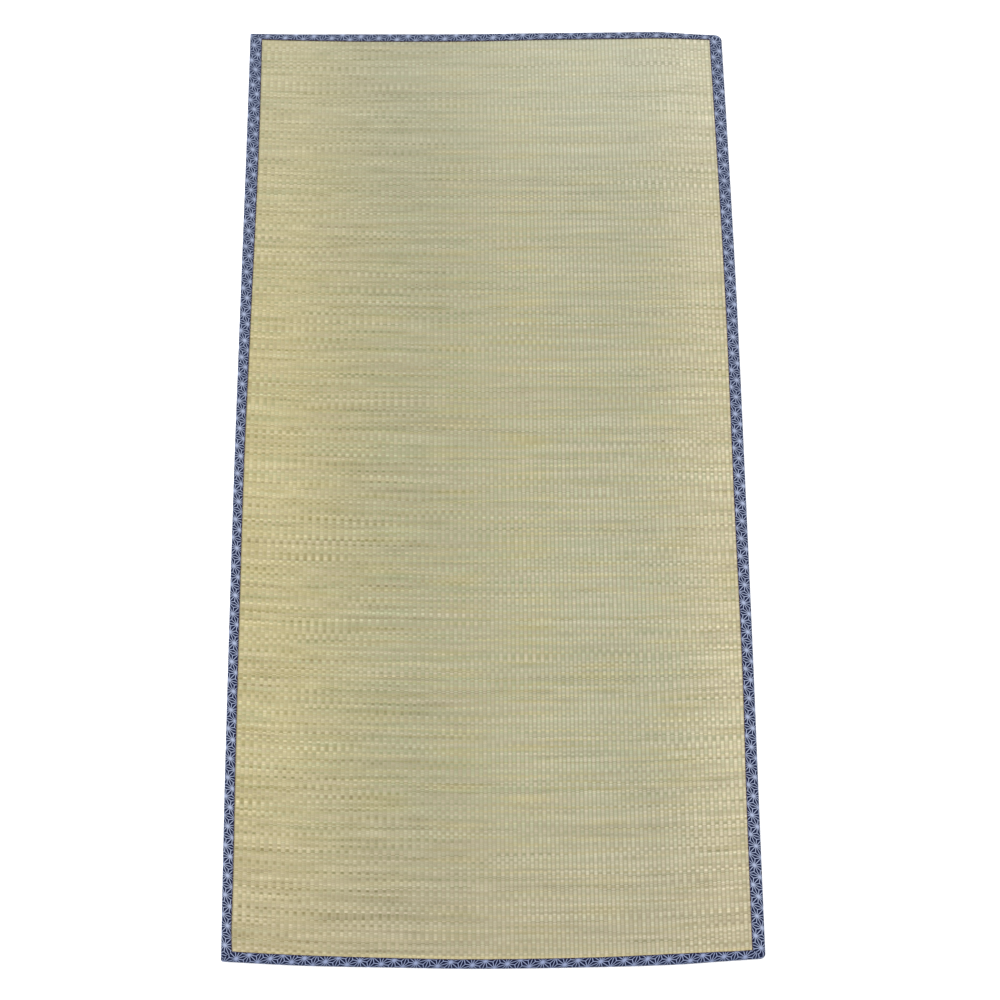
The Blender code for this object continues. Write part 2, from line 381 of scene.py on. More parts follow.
sky = bpy.data.worlds.new("pale_sky")
sky_tree = Tree(sky)
seen = sky_tree.add("LightPath", {}, {})  # 1 where the camera sees the sky, 0 where the sky gives light
strength = seen * (SEEN_STRENGTH - SKY_STRENGTH) + SKY_STRENGTH
sky_tree.plug(sky_tree.nodes["Background"], {"Color": WHITE, "Strength": strength})
bpy.context.scene.world = sky
bpy.context.scene.view_settings.view_transform = "Standard"
print("the floor glows by", FLOOR_GLOW, "and the sky lights the mat by", SKY_STRENGTH)

# %% Suns
SUN_DISTANCE = 3.0  # it changes nothing but where the sun's icon stands


def add_sun(name, azimuth, height, spread, strength):
    """A sun seen from the mat at an azimuth from +X and a height over the floor, in degrees."""
    a, h = math.radians(azimuth), math.radians(height)
    towards = Vector((math.cos(a) * math.cos(h), math.sin(a) * math.cos(h), math.sin(h)))
    bpy.ops.object.light_add(type="SUN", location=towards * SUN_DISTANCE)
    sun = bpy.context.object
    sun.name = name
    sun.data.angle, sun.data.energy = math.radians(spread), strength
    sun.rotation_euler = towards.to_track_quat("Z", "Y").to_euler()


add_sun("leaning_sun", azimuth=168, height=56, spread=20, strength=1.35)
add_sun("overhead_sun", azimuth=80, height=74, spread=40, strength=0.75)
print("suns:", [thing.name for thing in bpy.data.objects if thing.type == "LIGHT"])

# %% [markdown]
# ## The woven panel
#
# At each rib every second stem goes over the warp threads, and the stems between go over at the next rib.
# The face so shows small bumps laid like bricks, each one rib wide and two rows high: about sixty thousand
# of them. They could be painted on as bump. A mesh that holds them catches the light by itself, from any
# side, and four faces round one raised point are enough for each.
#
# One mesh should stay under 200,000 triangles, so the panel is made as three strips that meet in valleys
# between ribs, where the weave has a crease anyway. Each strip starts as a coarse grid, gets its thickness
# by an extrusion, and is then divided on its upper face alone, so the flat underside stays light. Every
# point keeps its rib and its row as numbers. They say where the point goes, and later colour its stem.

# %% The order of the weave
STRIPS = ("left", "middle", "right")
RIBS_EACH = RIBS // len(STRIPS)
ROWS = 948  # stems from foot to head
CELL = 6  # a cell of the coarse grid is three ribs by six rows
BUMP_TOP, BUMP_SIDE, VALLEY = 2.80 * MM, 2.38 * MM, 2.02 * MM  # heights over the panel's underside
UNEVEN_ROW, UNEVEN_STEM, UNEVEN_BUMP = 0.20, 0.22, 0.20  # of a row's height, and of a bump's
ROW_SLANT = -0.0057  # half way up, the rows run a little downhill to the right, as a share of the length
WANDER_ALONG, WANDER_ACROSS = 0.5 * MM, 0.35 * MM  # how far rows and ribs wander from their lines
WEAVE_SEED = 7
rng = np.random.default_rng(WEAVE_SEED)
row_shift = UNEVEN_ROW * rng.uniform(-1, 1, ROWS + 1) * (np.arange(ROWS + 1) % ROWS > 0)
stem_rise = 1 + UNEVEN_STEM * rng.uniform(-1, 1, ROWS + 1)
print("rows", round((LENGTH - 2 * PANEL_INSET) / ROWS / MM, 2), "mm apart")


# %% Where a point of the panel lies
ROW_WAVE, RIB_WAVE = (17, 5, 31), (19, 3, 12)  # how rows and ribs wave, in radians over the whole panel


def inset_line(edge, share):
    """Places at shares of the line along which the panel ends, under the tape."""
    first, second, _ = EDGES[edge]
    start = corner_start(first, PANEL_INSET)
    end = edge_line(edge)[2] - corner_start(second, PANEL_INSET)
    return edge_points(edge, start + (end - start) * share, PANEL_INSET)


def panel_places(across, along):
    """Places on the panel from their shares across and along, between its four uneven edges."""
    a, b = across[:, None], along[:, None]
    ends = np.array([0.0, 1.0])
    (foot_left, head_left), (foot_right, head_right) = inset_line("left", ends), inset_line("right", ends)
    between_sides = inset_line("left", along) * (1 - a) + inset_line("right", along) * a
    between_ends = inset_line("foot", across) * (1 - b) + inset_line("head", across) * b
    foot, head = foot_left * (1 - a) + foot_right * a, head_left * (1 - a) + head_right * a
    corners = foot * (1 - b) + head * b
    return between_sides + between_ends - corners - MIDDLE


def wave(first, second, shape):
    """From -1 to 1: a slow wave over one number, bent by another wave over the second."""
    slow, bend, quick = shape
    return np.sin(first * slow + bend * np.sin(second * quick))


def wander(across, along):
    """The shares across and along, off their straight lines by the rows' slant and by slow waves."""
    inside = 16 * across * (1 - across) * along * (1 - along)  # 1 in the middle, and 0 at the edges
    along = along + ROW_SLANT * (across - 0.5) * 4 * along * (1 - along)
    along = along + inside * WANDER_ALONG / LENGTH * wave(across, along, ROW_WAVE)
    across = across + inside * WANDER_ACROSS / WIDTH * wave(along, across, RIB_WAVE)
    return across, along


middle_of_panel = panel_places(np.array([0.5]), np.array([0.5]))
print("the panel's middle is at", np.round(middle_of_panel, 4))


# %% How high it lies
def margin_lift(share, reach):
    """The underside's height: on the tape's lower leg near an edge, and on the floor elsewhere."""
    distance = PANEL_INSET + np.minimum(share, 1 - share) * (reach - 2 * PANEL_INSET)
    return LIFT * np.clip((DROP_END - distance) / (DROP_END - LEVEL_MARGIN), 0, 1)


def weave_height(rib, row):
    """The upper face's height over the underside: low in valleys, highest where a stem lies on top."""
    crest = rib % 1 > 0  # a whole number of ribs is a valley
    on_top = crest & ((np.floor(rib) + row) % 2 == 0)
    bump = (BUMP_TOP - BUMP_SIDE) * stem_rise[row] * (1 + UNEVEN_BUMP * rng.uniform(-1, 1, len(rib)))
    return np.where(crest, BUMP_SIDE + bump * on_top, VALLEY), on_top


print("the margin is lifted by", round(LIFT / MM, 2), "mm")


# %% Read and write a mesh as arrays
def read(things, name, kind=float, size=1):
    """One property of all the points, edges or kept numbers of a mesh."""
    values = np.empty(len(things) * size, kind)
    things.foreach_get(name, values)
    return values.reshape(-1, size) if size > 1 else values


def set_places(mesh, places):
    """Moves all of a mesh's points."""
    mesh.vertices.foreach_set("co", places.astype(np.float32).ravel())
    mesh.update()


def keep_number(mesh, name, values):
    """Keeps a number at each point. Operators that divide the mesh work out the numbers in between."""
    mesh.attributes.new(name, "FLOAT", "POINT").data.foreach_set("value", values.astype(np.float32))


def add_grid(name, x_cells, y_cells):
    """A flat square grid from -0.5 to 0.5, alone selected, ready to be shaped."""
    bpy.ops.object.select_all(action="DESELECT")
    bpy.ops.mesh.primitive_grid_add(x_subdivisions=x_cells, y_subdivisions=y_cells, size=1, calc_uvs=False)
    piece = bpy.context.object
    piece.name = piece.data.name = name
    return piece


def in_edit_mode(*steps):
    """Runs operators on the whole mesh in edit mode."""
    bpy.ops.object.mode_set(mode="EDIT")
    bpy.ops.mesh.select_all(action="SELECT")
    for step in steps:
        step()
    bpy.ops.object.mode_set(mode="OBJECT")


print("a grid's points are read and written as arrays of three columns")


# %% Weave the strips
def plain_strip(number, name):
    """A third of the panel before it is woven: a slab, divided finely on its upper face alone."""
    strip = add_grid(name, 2 * RIBS_EACH // CELL, ROWS // CELL)
    share = read(strip.data.vertices, "co", size=3)[:, :2] + 0.5
    keep_number(strip.data, "rib", (number + share[:, 0]) * RIBS_EACH)
    keep_number(strip.data, "row", share[:, 1] * ROWS)
    in_edit_mode(
        lambda: bpy.ops.mesh.extrude_region_move(TRANSFORM_OT_translate={"value": (0, 0, CREST)}),
        lambda: bpy.ops.mesh.subdivide(number_cuts=CELL - 1),
        lambda: bpy.ops.mesh.select_all(action="SELECT"),
        lambda: bpy.ops.mesh.normals_make_consistent(inside=False),
    )
    return strip


def crease(mesh, peak):
    """Makes every edge a crease, but for those that meet at the top of a bump."""
    ends = read(mesh.edges, "vertices", np.int32, 2)
    sharp = ~(peak[ends[:, 0]] | peak[ends[:, 1]])
    mesh.shade_smooth()
    mesh.attributes.new("sharp_edge", "BOOLEAN", "EDGE").data.foreach_set("value", sharp)


def woven_strip(number, name):
    """A third of the panel, with a bump wherever a stem lies on top."""
    strip = plain_strip(number, name)
    mesh = strip.data
    upper = read(mesh.vertices, "co", size=3)[:, 2] > CREST / 2
    rib = np.rint(read(mesh.attributes["rib"].data, "value") * 2) / 2
    row = np.rint(read(mesh.attributes["row"].data, "value")).astype(int)

    across, along = wander(rib / RIBS, (row + row_shift[row]) / ROWS)
    height, on_top = weave_height(rib, row)
    under = np.maximum(margin_lift(rib / RIBS, WIDTH), margin_lift(row / ROWS, LENGTH))
    set_places(mesh, np.column_stack([panel_places(across, along), under + height * upper]))

    peak = upper & on_top
    crease(mesh, peak)
    print(name, len(mesh.polygons), "faces,", int(peak.sum()), "bumps")
    return strip


weave = [woven_strip(number, f"weave_{side}") for number, side in enumerate(STRIPS)]

# %% [markdown]
# ## The stems' finish
#
# Each stem keeps one colour that changes slowly along it, and it comes up at every other rib. So a stem
# that stands out shows as a row of dashes, two ribs apart. The mesh knows the rib and the row of every
# point. From those two numbers the finish finds the stem that lies on top, and how far a point is from the
# top of its bump. All that follows is worked out from this.

# %% Find the stem under a point
Point = namedtuple("Point", "x y row rib odd stem across beside left right")


def find_stem(f):
    """Where a point lies in the weave, and how far it is in the mat's left and in its right half."""
    x, y, _ = f.place()
    place, row = f.number("rib"), f.number("row")
    rib = place.floor()
    odd = rib % 2  # 1 on every second rib
    stem = ((row - odd + 1) / 2).floor() * 2 + odd
    across = abs(place - rib - 0.5) * 2  # 0 on the rib's crest, 1 in the valley
    beside = abs(row - stem)  # 0 along the middle of the stem, 1 at its sides
    left, right = 1 - x.rise(-0.30, 0.02), x.rise(-0.20, 0.16)
    return Point(x, y, row, rib, odd, stem, across, beside, left, right)


print("what the finish knows of a point:", ", ".join(Point._fields))

# %% [markdown]
# Stems are laid in by the handful, so neighbours are alike and the mat is streaked from side to side. Now
# and then one stem differs from all round it. Each kind of unevenness is a noise of its own size, and the
# tone of a stem is their sum. It shows most on the round top of a bump.

# %% The stems' tone
OWN_TONE, STRAY_TONE, SLOW_TONE = 0.25, 0.20, 1.0  # each stem, the few strays, the change along a stem
STREAK_TONE, BLOTCH_TONE, BAND_TONE = 3.4, 1.0, 0.2  # handfuls of stems, small patches and broad bands
TURN_TONE, MARGIN_TURN, BUMP_TONE = 1.6, 0.6, 0.2  # ribs in turn, more so at the sides, and each bump
STEM_TONE = 0.30  # how much all of it changes the lightness


def stem_tone(f, p):
    """How much lighter or darker a point is than the mat: a number round 0."""
    own = f.chance(p.stem, 3.0)
    slow = f.drift(p.x / 0.10 + own * 90, p.stem * 5.37)
    stray = (own.rise(0.84, 0.96) - (1 - own.rise(0.05, 0.15))) * slow.rise(0.36, 0.60)
    streak = f.drift(p.x / 0.30, p.stem / 1.6, detail=1.0)
    blotch = f.drift(p.x / 0.035, p.row / 3.5)
    band = f.drift(p.x / 0.5, p.row / 14, detail=2.0)
    in_turn = (p.odd - 0.5) * (f.drift(p.x / 0.12 + 7, p.row / 3.6) - 0.5)
    bump = f.chance(p.stem, p.rib)
    side = p.left.most(p.x.rise(0.20, 0.38) * 0.8)
    bare = (1 - p.across**2 * 0.8) * (1 - p.beside**4 * 0.5)  # how much of a bump's round top lies here

    tone = (own - 0.5) * OWN_TONE + stray * STRAY_TONE + (slow - 0.5) * SLOW_TONE
    tone = tone + (streak - 0.5) * STREAK_TONE + in_turn * (side * MARGIN_TURN + TURN_TONE)
    tone = tone + (blotch - 0.5) * BLOTCH_TONE + (bump - 0.5) * BUMP_TONE
    tone = tone * (side * 0.4 + 0.6) * bare + (band - 0.5) * BAND_TONE
    return tone * (1.14 - p.y.rise(-0.9, 0.9) * 0.28)  # stems differ a little more towards the foot


print("the streaks count for", STREAK_TONE / OWN_TONE, "times a stem's own tone")

# %% [markdown]
# The mat isn't of one colour. It is yellower at the left. It is paler at the right and cooler towards the
# head, partly in the stems' own colour and partly by a painted sheen. Stem by stem it also turns greener,
# rosier or more golden. Each colour is blended in by its own share.

# %% The stems' colour
CENTRE_STRAW, LEFT_STRAW, RIGHT_STRAW_AND_SHEEN = rgb(175, 171, 140), rgb(195, 183, 138), rgb(207, 194, 157)
GREEN_STEM, ROSE_STEM, COOL_STEM_AND_SHEEN = rgb(167, 174, 135), rgb(185, 172, 145), rgb(174, 175, 156)
YELLOW_STEM, YOUNG_STEM = rgb(187, 175, 119), rgb(203, 190, 144)


def straw_colour(f, p):
    """The stems' colour, before any tone or shade."""
    straw = f.blend(CENTRE_STRAW, LEFT_STRAW, 1 - p.x.rise(-0.42, -0.13))
    # paler at the right: partly the stems' own colour, partly a painted sheen
    straw = f.blend(straw, RIGHT_STRAW_AND_SHEEN, p.x.rise(0.24, 0.43))
    tint = f.drift(p.x / 0.11 + 40, p.stem * 3.11)
    tint = tint - (p.odd - 0.5) * p.right * 0.2  # at the right, each rib differs from the next
    straw = f.blend(straw, GREEN_STEM, tint.rise(0.50, 0.78) * 0.5)
    straw = f.blend(straw, ROSE_STEM, (1 - tint.rise(0.24, 0.50)) * 0.5)
    golden = f.drift(p.x / 0.12 + 70, p.stem / 3.0).rise(0.45, 0.80) * (p.right * 0.25 + 0.3)
    straw = f.blend(straw, YELLOW_STEM, golden + p.left * 0.14)
    # cooler towards the head and in the right half: partly the stems' own colour, partly a painted sheen
    straw = f.blend(straw, COOL_STEM_AND_SHEEN, p.y.rise(0.1, 0.95) * 0.35 + p.x.rise(0.02, 0.20) * 0.18)
    straw = f.blend(straw, ROSE_STEM, (1 - p.y.rise(-0.90, -0.50)) * 0.4)
    first_rows = 1 - p.row.rise(7.0, 9.5)  # those at the foot are paler
    return f.blend(straw, YOUNG_STEM, first_rows * 0.7)


print("the stems' colours are mixed from eight")

# %% [markdown]
# Painted shade darkens the valleys between the ribs, most of all in the right half, and a stem's two sides a
# little. Here and there two stems lie open and leave a dark line of painted shade, which waves from rib to
# rib.

# %% The stems' shade
VALLEY_SHADE, ROW_SHADE, OPEN_SHADE = 0.32, 0.10, 0.36  # the light lost between ribs, rows and loose stems
MEAN_DEPTH = 0.33  # the mean of across squared: the shade's contrast turns about it, and its mean stays


def light_left(f, p):
    """The share of the light left by painted shade in the weave, by broad bands and by a painted sheen."""
    line = ((p.stem + (p.row > p.stem) * 2 - 1) / 2).floor()  # the line between two stems on this side
    open_line = f.chance(line, 8.0).rise(0.80, 0.94) * f.drift(p.x / 0.07, line * 2.3).rise(0.40, 0.58)
    valley = (p.across**2 - MEAN_DEPTH) * (p.right * 0.77 + 0.08) + MEAN_DEPTH
    duller = p.x.rise(-0.40, -0.22) * (1 - p.x.rise(-0.12, 0.06)) * 0.06  # a band left of the middle
    # a painted sheen lightens the head, most of all at the right
    duller = duller - p.y.rise(0.45, 0.90) * (p.x.rise(-0.35, 0.40) * 0.12 + 0.03)  # the head is lighter
    duller = duller + (1 - p.y.rise(-0.95, -0.50)) * 0.03  # and the foot is darker
    light = 1 - duller - valley * VALLEY_SHADE - p.beside**4 * ROW_SHADE
    return light * (1 - open_line * p.beside**3 * OPEN_SHADE)


print("a valley loses up to", VALLEY_SHADE, "of its light")

# %% Dress the strips
FLECK = rgb(110, 82, 44)
FLECKED = 0.9997  # three bumps in ten thousand have a dark fleck
FIBRE_LENGTH = 6 * MM
STEM_RELIEF = 0.10 * MM


def stem_finish():
    """Dry stems, with a bump that rounds each of them and shows its fibres."""
    f = Finish("woven_stems")
    p = find_stem(f)
    # the colour takes the painted shade and sheen of the light left, with the stems' own tone
    change = light_left(f, p) * (1 + stem_tone(f, p) * STEM_TONE) - 1
    colour = f.lighten(straw_colour(f, p), change)
    fleck = (f.chance(p.stem + 0.5, p.rib) > FLECKED) * (1 - p.across.most(p.beside).rise(0.25, 0.6))
    colour = f.blend(colour, FLECK, fleck * 0.8)
    fibre = f.drift(p.x / FIBRE_LENGTH, p.row * 7, detail=2.0)
    height = (1 - p.across**2) * (1 - p.beside**2) + fibre * 0.25
    return f.dress(height, STEM_RELIEF, Base_Color=colour, Roughness=0.62 - fibre * 0.18)


stems = stem_finish()
for strip in weave:
    strip.data.materials.append(stems)
print("the stems' finish has", len(stems.node_tree.nodes), "nodes")

# %% [markdown]
# ## The printed tape
#
# Each tape is a straight strip of cotton that a machine folds over the edge and sews through. It is made
# the same way: a flat grid is folded, and each of its points keeps as numbers how far it lies along and
# across the flat strip, so the print and the weave follow the cloth round the fold. Solidify gives the
# cotton its thickness. The ends are turned to a mitre in the corners, over the last few centimetres, as
# the solids' ends are.

# %% Where the tapes' sections stand
CORNER_ZONE = 60 * MM  # along each end of a tape, where its sections turn towards the mitre
CORNER_STEPS = 24  # sections in it, closest together at the mitre
STATION_PITCH = 4.4 * MM  # between the sections elsewhere


def from_corner(edge, name, distance):
    """Distances along an edge, given how far they are from the corner at either of its ends."""
    return distance if EDGES[edge][0] == name else edge_line(edge)[2] - distance


def inner_points(edge, distance):
    """Places on the tape's inner edge, at distances along the mat's edge."""
    return edge_points(edge, distance, tape_width(edge, distance), rounded=False)


def edges_at(name):
    """The two edges that meet at a corner."""
    return [edge for edge, (first, second, _) in EDGES.items() if name in (first, second)]


def width_beside(edge, name):
    """The width of the other tape that meets this edge's tape at a corner."""
    other = next(e for e in edges_at(name) if e != edge)
    return float(tape_width(other, from_corner(other, name, 0.0)))


def ends_of_sections(edge, name, share):
    """Outer and inner ends of a tape's sections near a corner, in one row, before they meet the mitre."""
    outer_start, inner_start = corner_start(name, 0.0), width_beside(edge, name)
    outer_distance = outer_start + (CORNER_ZONE - outer_start) * share
    inner_distance = inner_start + (CORNER_ZONE - inner_start) * share
    outer = edge_points(edge, from_corner(edge, name, outer_distance), 0.0)
    inner = inner_points(edge, from_corner(edge, name, inner_distance))
    return np.hstack([outer, inner])


def mitre(name):
    """The mitre at a corner, half way between where its two edges put it."""
    return sum(ends_of_sections(edge, name, np.array([0.0])) for edge in edges_at(name)) / 2


def corner_sections(edge, name):
    """A tape's sections near a corner: from the mitre on, they turn until they are square to the edge."""
    share = np.linspace(0, 1, CORNER_STEPS + 1) ** 2
    sections = ends_of_sections(edge, name, share)
    away = edge_line(edge)[1] * (1 if EDGES[edge][0] == name else -1)
    half_gap = np.tile(away * GAP * DIAGONAL, 2)
    return sections + (mitre(name) + half_gap - sections[0]) * (1 - share[:, None]) ** 3


def tape_sections(edge):
    """The outer and inner ends of all of a tape's sections, from one mitre to the other."""
    first, second, _ = EDGES[edge]
    straight = edge_line(edge)[2] - 2 * CORNER_ZONE
    steps = round(straight / STATION_PITCH)
    distance = CORNER_ZONE + straight * np.arange(1, steps) / steps
    between = np.hstack([edge_points(edge, distance, 0.0), inner_points(edge, distance)])
    return np.vstack([corner_sections(edge, first), between, corner_sections(edge, second)[::-1]])


print("sections:", {edge: len(tape_sections(edge)) for edge in EDGES})

# %% The tape's folded section
LEG_STEPS, FOLD_STEPS = 9, 8


def folded_section():
    """The tape's outer face in rows, from its inner end out, round the fold and back under.

    A row holds a share of the width and a distance, which add up to a depth, and then a height.
    """
    leg = np.linspace(1, 0, LEG_STEPS + 1)
    turned = np.linspace(math.pi / 2, -math.pi / 2, FOLD_STEPS + 1)[1:-1]
    upper = np.column_stack([leg, BEND_RADIUS * (1 - leg), np.full_like(leg, EDGE_HEIGHT)])
    out, up = BEND_RADIUS * (1 - np.cos(turned)), BEND_RADIUS * (1 + np.sin(turned))
    fold = np.column_stack([0 * turned, out, up])
    lower = np.column_stack([leg[::-1], BEND_RADIUS * (1 - leg[::-1]), np.zeros_like(leg)])
    return np.vstack([upper, fold, lower])


def tape_hand(edge):
    """1 where an edge runs anticlockwise round the mat, seen from above, and -1 where it runs clockwise."""
    outward, direction = np.array(OUTWARD[edge]), edge_line(edge)[1]
    return round(float(outward[0] * direction[1] - outward[1] * direction[0]))


print("a section of the tape has", len(folded_section()), "points")

# %% A tape's surface
SEAM_INSET = 1.7 * MM  # from the tape's inner edge
PRESSED, PRESSED_REACH = 0.22 * MM, 1.6 * MM  # the seam draws the cotton down, this much and this far
TUCKED, TUCKED_REACH = 0.30 * MM, 0.5 * MM  # and the cotton's own edge bends down
PUCKER = 0.16 * MM  # how high the cotton puckers, most of all at the seam
PUCKER_WAVE, PUCKER_SLANT = (61, 4, 17), (143, 300)  # how the puckers wave, in radians to the metre


def tape_surface(edge, steps):
    """The places, the distance along and the distance across of a tape, at each section and step."""
    sections = tape_sections(edge) - np.tile(MIDDLE, 2)
    outer, inner = sections[:, None, :2], sections[:, None, 2:]
    width = np.abs((inner - outer) @ np.array(OUTWARD[edge], float))  # square to the edge
    by_share, fixed, height = steps.T
    depth = by_share * width + fixed
    flat = outer + (inner - outer) * (depth / width)[..., None]
    along = (flat @ edge_line(edge)[1]) * tape_hand(edge)
    run = np.hypot(np.diff(depth, axis=1), np.diff(height))
    across = np.hstack([np.zeros_like(width), np.cumsum(run, axis=1)])
    from_seam = width - depth - SEAM_INSET
    on_top = height > EDGE_HEIGHT - PRESSED
    pressed = PRESSED * np.exp(-((from_seam / PRESSED_REACH) ** 2))
    pressed = pressed + TUCKED * np.exp(-(width - depth) / TUCKED_REACH)
    waves = wave(along, along, PUCKER_WAVE) + np.sin(along * PUCKER_SLANT[0] + across * PUCKER_SLANT[1])
    puckers = PUCKER * waves * np.clip(depth / width, 0, 1)
    height = np.broadcast_to(height, depth.shape) + np.where(on_top, puckers - pressed, 0)
    return np.dstack([flat, height]), along, across


print("the seam lies", round(SEAM_INSET / MM, 2), "mm from the tape's inner edge")

# %% Fold the tapes
PRINT_STARTS = {
    # rows of (share of the edge, millimetres along, millimetres out from the fold) of a star
    "left": ((0.00, 16.5, 26.3), (0.12, 10.9, 26.3), (0.20, 8.3, 25.3), (0.32, 8.4, 26.0),
             (0.44, 11.7, 28.5), (0.60, 13.0, 36.4), (0.72, 11.2, 42.7), (0.84, 7.0, 48.6),
             (1.00, 6.0, 52.5)),
    "right": ((0.00, 11.5, 31.8), (0.20, 13.8, 29.3), (0.29, 13.8, 28.1), (0.40, 13.4, 29.6),
              (0.60, 13.8, 37.2), (0.72, 15.8, 40.9), (0.84, 19.0, 43.2), (0.94, 13.5, 45.7),
              (1.00, 12.0, 45.5)),
    "foot": ((0.00, 14.5, 27.8), (0.15, 15.4, 24.5), (0.31, 15.8, 18.9), (0.46, 13.8, 14.4),
             (0.62, 10.4, 7.7), (0.69, 7.5, 6.8), (0.78, 0.3, 16.1), (0.84, -0.2, 17.3), (0.92, 0.5, 15.0),
             (1.00, 1.4, 14.0)),
    "head": ((0.00, 16.0, 10.5), (0.09, 12.4, 10.2), (0.15, 10.5, 11.2), (0.22, 9.0, 12.7),
             (0.38, 6.9, 12.6), (0.62, 7.4, 10.8), (0.81, 8.1, 11.0), (1.00, 8.8, 10.0)),
}


def print_shift(edge, along):
    """How far the print is moved along the tape and out, at distances along it."""
    start, direction, length = edge_line(edge)
    share = np.clip((along * tape_hand(edge) - (start - MIDDLE) @ direction) / length, 0, 1)
    return [read_smoothly(PRINT_STARTS[edge], share, column) * MM for column in (1, 2)]


def folded_tape(edge, name):
    """A tape: a flat grid, folded, whose points keep their places on the flat strip, then thickened."""
    places, along, across = tape_surface(edge, folded_section())
    sections, columns = along.shape
    tape = add_grid(name, columns - 1, sections - 1)
    mesh = tape.data
    share = read(mesh.vertices, "co", size=3)[:, :2] + 0.5
    column = np.rint(share[:, 0] * (columns - 1)).astype(int)
    section = np.rint(share[:, 1] * (sections - 1)).astype(int)
    set_places(mesh, places[section, column])

    cut_width = across.max(1)
    shift_along, shift_out = print_shift(edge, along[:, 0])
    keep_number(mesh, "print_along", (along + shift_along[:, None])[section, column])
    keep_number(mesh, "print_out", (across + (shift_out - cut_width / 2)[:, None])[section, column])
    keep_number(mesh, "across", across[section, column])
    keep_number(mesh, "width", cut_width[section])

    if tape_hand(edge) < 0:
        in_edit_mode(lambda: bpy.ops.mesh.flip_normals())
    thick = tape.modifiers.new("thickness", "SOLIDIFY")
    thick.thickness, thick.offset = TAPE_THICKNESS, -1
    bpy.ops.object.modifier_apply(modifier=thick.name)
    bpy.ops.object.shade_smooth_by_angle(angle=math.radians(40))
    cut = float(cut_width.mean()), float(np.ptp(along))
    print(name, len(mesh.polygons), "faces, cut", np.round(cut, 3))
    return tape, cut


tapes = {edge: folded_tape(edge, f"binding_{edge}") for edge in EDGES}

# %% [markdown]
# ## The print and the cotton
#
# The print is the traditional hemp leaf: a lattice of triangles, with a line from each corner of a
# triangle to its middle, so that twelve lines meet in every star. It needs no drawing. Two steps of the
# lattice, along and across the tape, turn a point into a pair of whole numbers and a place in a triangle.
# A line is wherever the least of that place's three shares is near nought, or the two lesser ones are
# alike. The tapes were cut a little off the print's line, so it wanders across them from end to end.

# %% The hemp leaf
STEP_ONE, STEP_TWO = (13.0 * MM, 11.4 * MM), (20.6 * MM, -8.0 * MM)  # the lattice, as (along, out)
TRIANGLE_HEIGHT = 17 * MM
LINE_WIDTH = 1.10 * MM
STAR_SHARE = 0.75  # how pale a star's middle is, where its lines run together


def hemp_leaf(along, out):
    """How much of the pale print lies on a point, from 0 to 1."""
    (ax, ay), (bx, by) = STEP_ONE, STEP_TWO
    size = ax * by - bx * ay
    a = (along * by - out * bx) / size
    b = (out * ax - along * ay) / size
    a, b = a - a.floor(), b - b.floor()
    far = (a + b) > 1  # the second triangle of each pair
    first, second, third = abs(1 - a - b), abs(far - a), abs(far - b)
    least = first.least(second).least(third)
    most = first.most(second).most(third)
    middle = 1 - least - most
    to_line = (least * TRIANGLE_HEIGHT).least((middle - least) * TRIANGLE_HEIGHT / math.sqrt(3))
    lines = 1 - to_line.rise(LINE_WIDTH * 0.3, LINE_WIDTH * 0.7)
    star = most.rise(0.82, 0.94)
    return lines.most(star * STAR_SHARE)


print("stars are", [round(math.hypot(*step) / MM, 1) for step in (STEP_ONE, STEP_TWO)], "mm apart")

# %% Cotton
# the greyed blue serves wear and the fold's painted highlight
NAVY, PALE_BLUE, WORN_AND_HIGHLIT = rgb(12, 20, 56), rgb(174, 185, 213), rgb(88, 103, 131)
# the brown of a painted shadow at the inner edge, and the blue-grey of painted shade on the foot's tape
INNER_EDGE_SHADOW, FOOT_SHADE = rgb(58, 32, 36), rgb(218, 221, 232)
COTTON_GLOSS = 0.12  # cotton mirrors less than most things, so its navy stays deep
COTTON_PITCH, COTTON_RELIEF = 0.45 * MM, 0.12 * MM  # of its threads, and of its weave


def cotton_finish():
    """Printed cotton, paler towards the head, with a painted highlight on its fold and a brown painted
    shadow at its inner edge.
    """
    f = Finish("printed_cotton")
    _, y, _ = f.place()
    along, out = f.number("print_along"), f.number("print_out")
    across, width = f.number("across"), f.number("width")
    warp = abs((along / COTTON_PITCH) % 2 - 1)
    weft = abs((across / COTTON_PITCH) % 2 - 1)
    cloth = warp * weft + (1 - warp) * (1 - weft)
    fade = f.drift(along / 0.05, across / 0.02, detail=3.0)
    # a painted highlight where the cotton turns round the fold
    fold_highlight = 1 - (abs(across / width - 0.5) * width).rise(1.5 * MM, 6 * MM)
    at_head = y.rise(-0.70, 0.90)
    at_foot = 1 - y.rise(-0.90, -0.86)  # painted shade darkens the foot's tape, and its print is clearer
    colour = f.blend(NAVY, PALE_BLUE, hemp_leaf(along, out) * (0.75 + fade * 0.35 + at_foot * 0.12))
    # paler over the fold's painted highlight, a little where the cotton fades with wear, and towards the
    # head
    colour = f.blend(colour, WORN_AND_HIGHLIT, (fold_highlight * 0.25 + fade * 0.05).most(at_head * 0.20))
    # a brown painted shadow along the tape's inner edge
    colour = f.blend(colour, INNER_EDGE_SHADOW, (1 - across.rise(0.7 * MM, 2.4 * MM)) * 0.65)
    # painted shade, a little blue, over the foot's tape
    colour = f.blend(f.dim(colour, 0.82 + cloth * 0.3), FOOT_SHADE, at_foot, "MULTIPLY")
    return f.dress(cloth + fade * 0.5, COTTON_RELIEF, Base_Color=colour, Roughness=0.78 + fade * 0.15)


cotton = cotton_finish()
cotton.node_tree.nodes["Principled BSDF"].inputs["Specular IOR Level"].default_value = COTTON_GLOSS
for tape, _ in tapes.values():
    tape.data.materials.append(cotton)
print("the cotton's finish has", len(cotton.node_tree.nodes), "nodes")

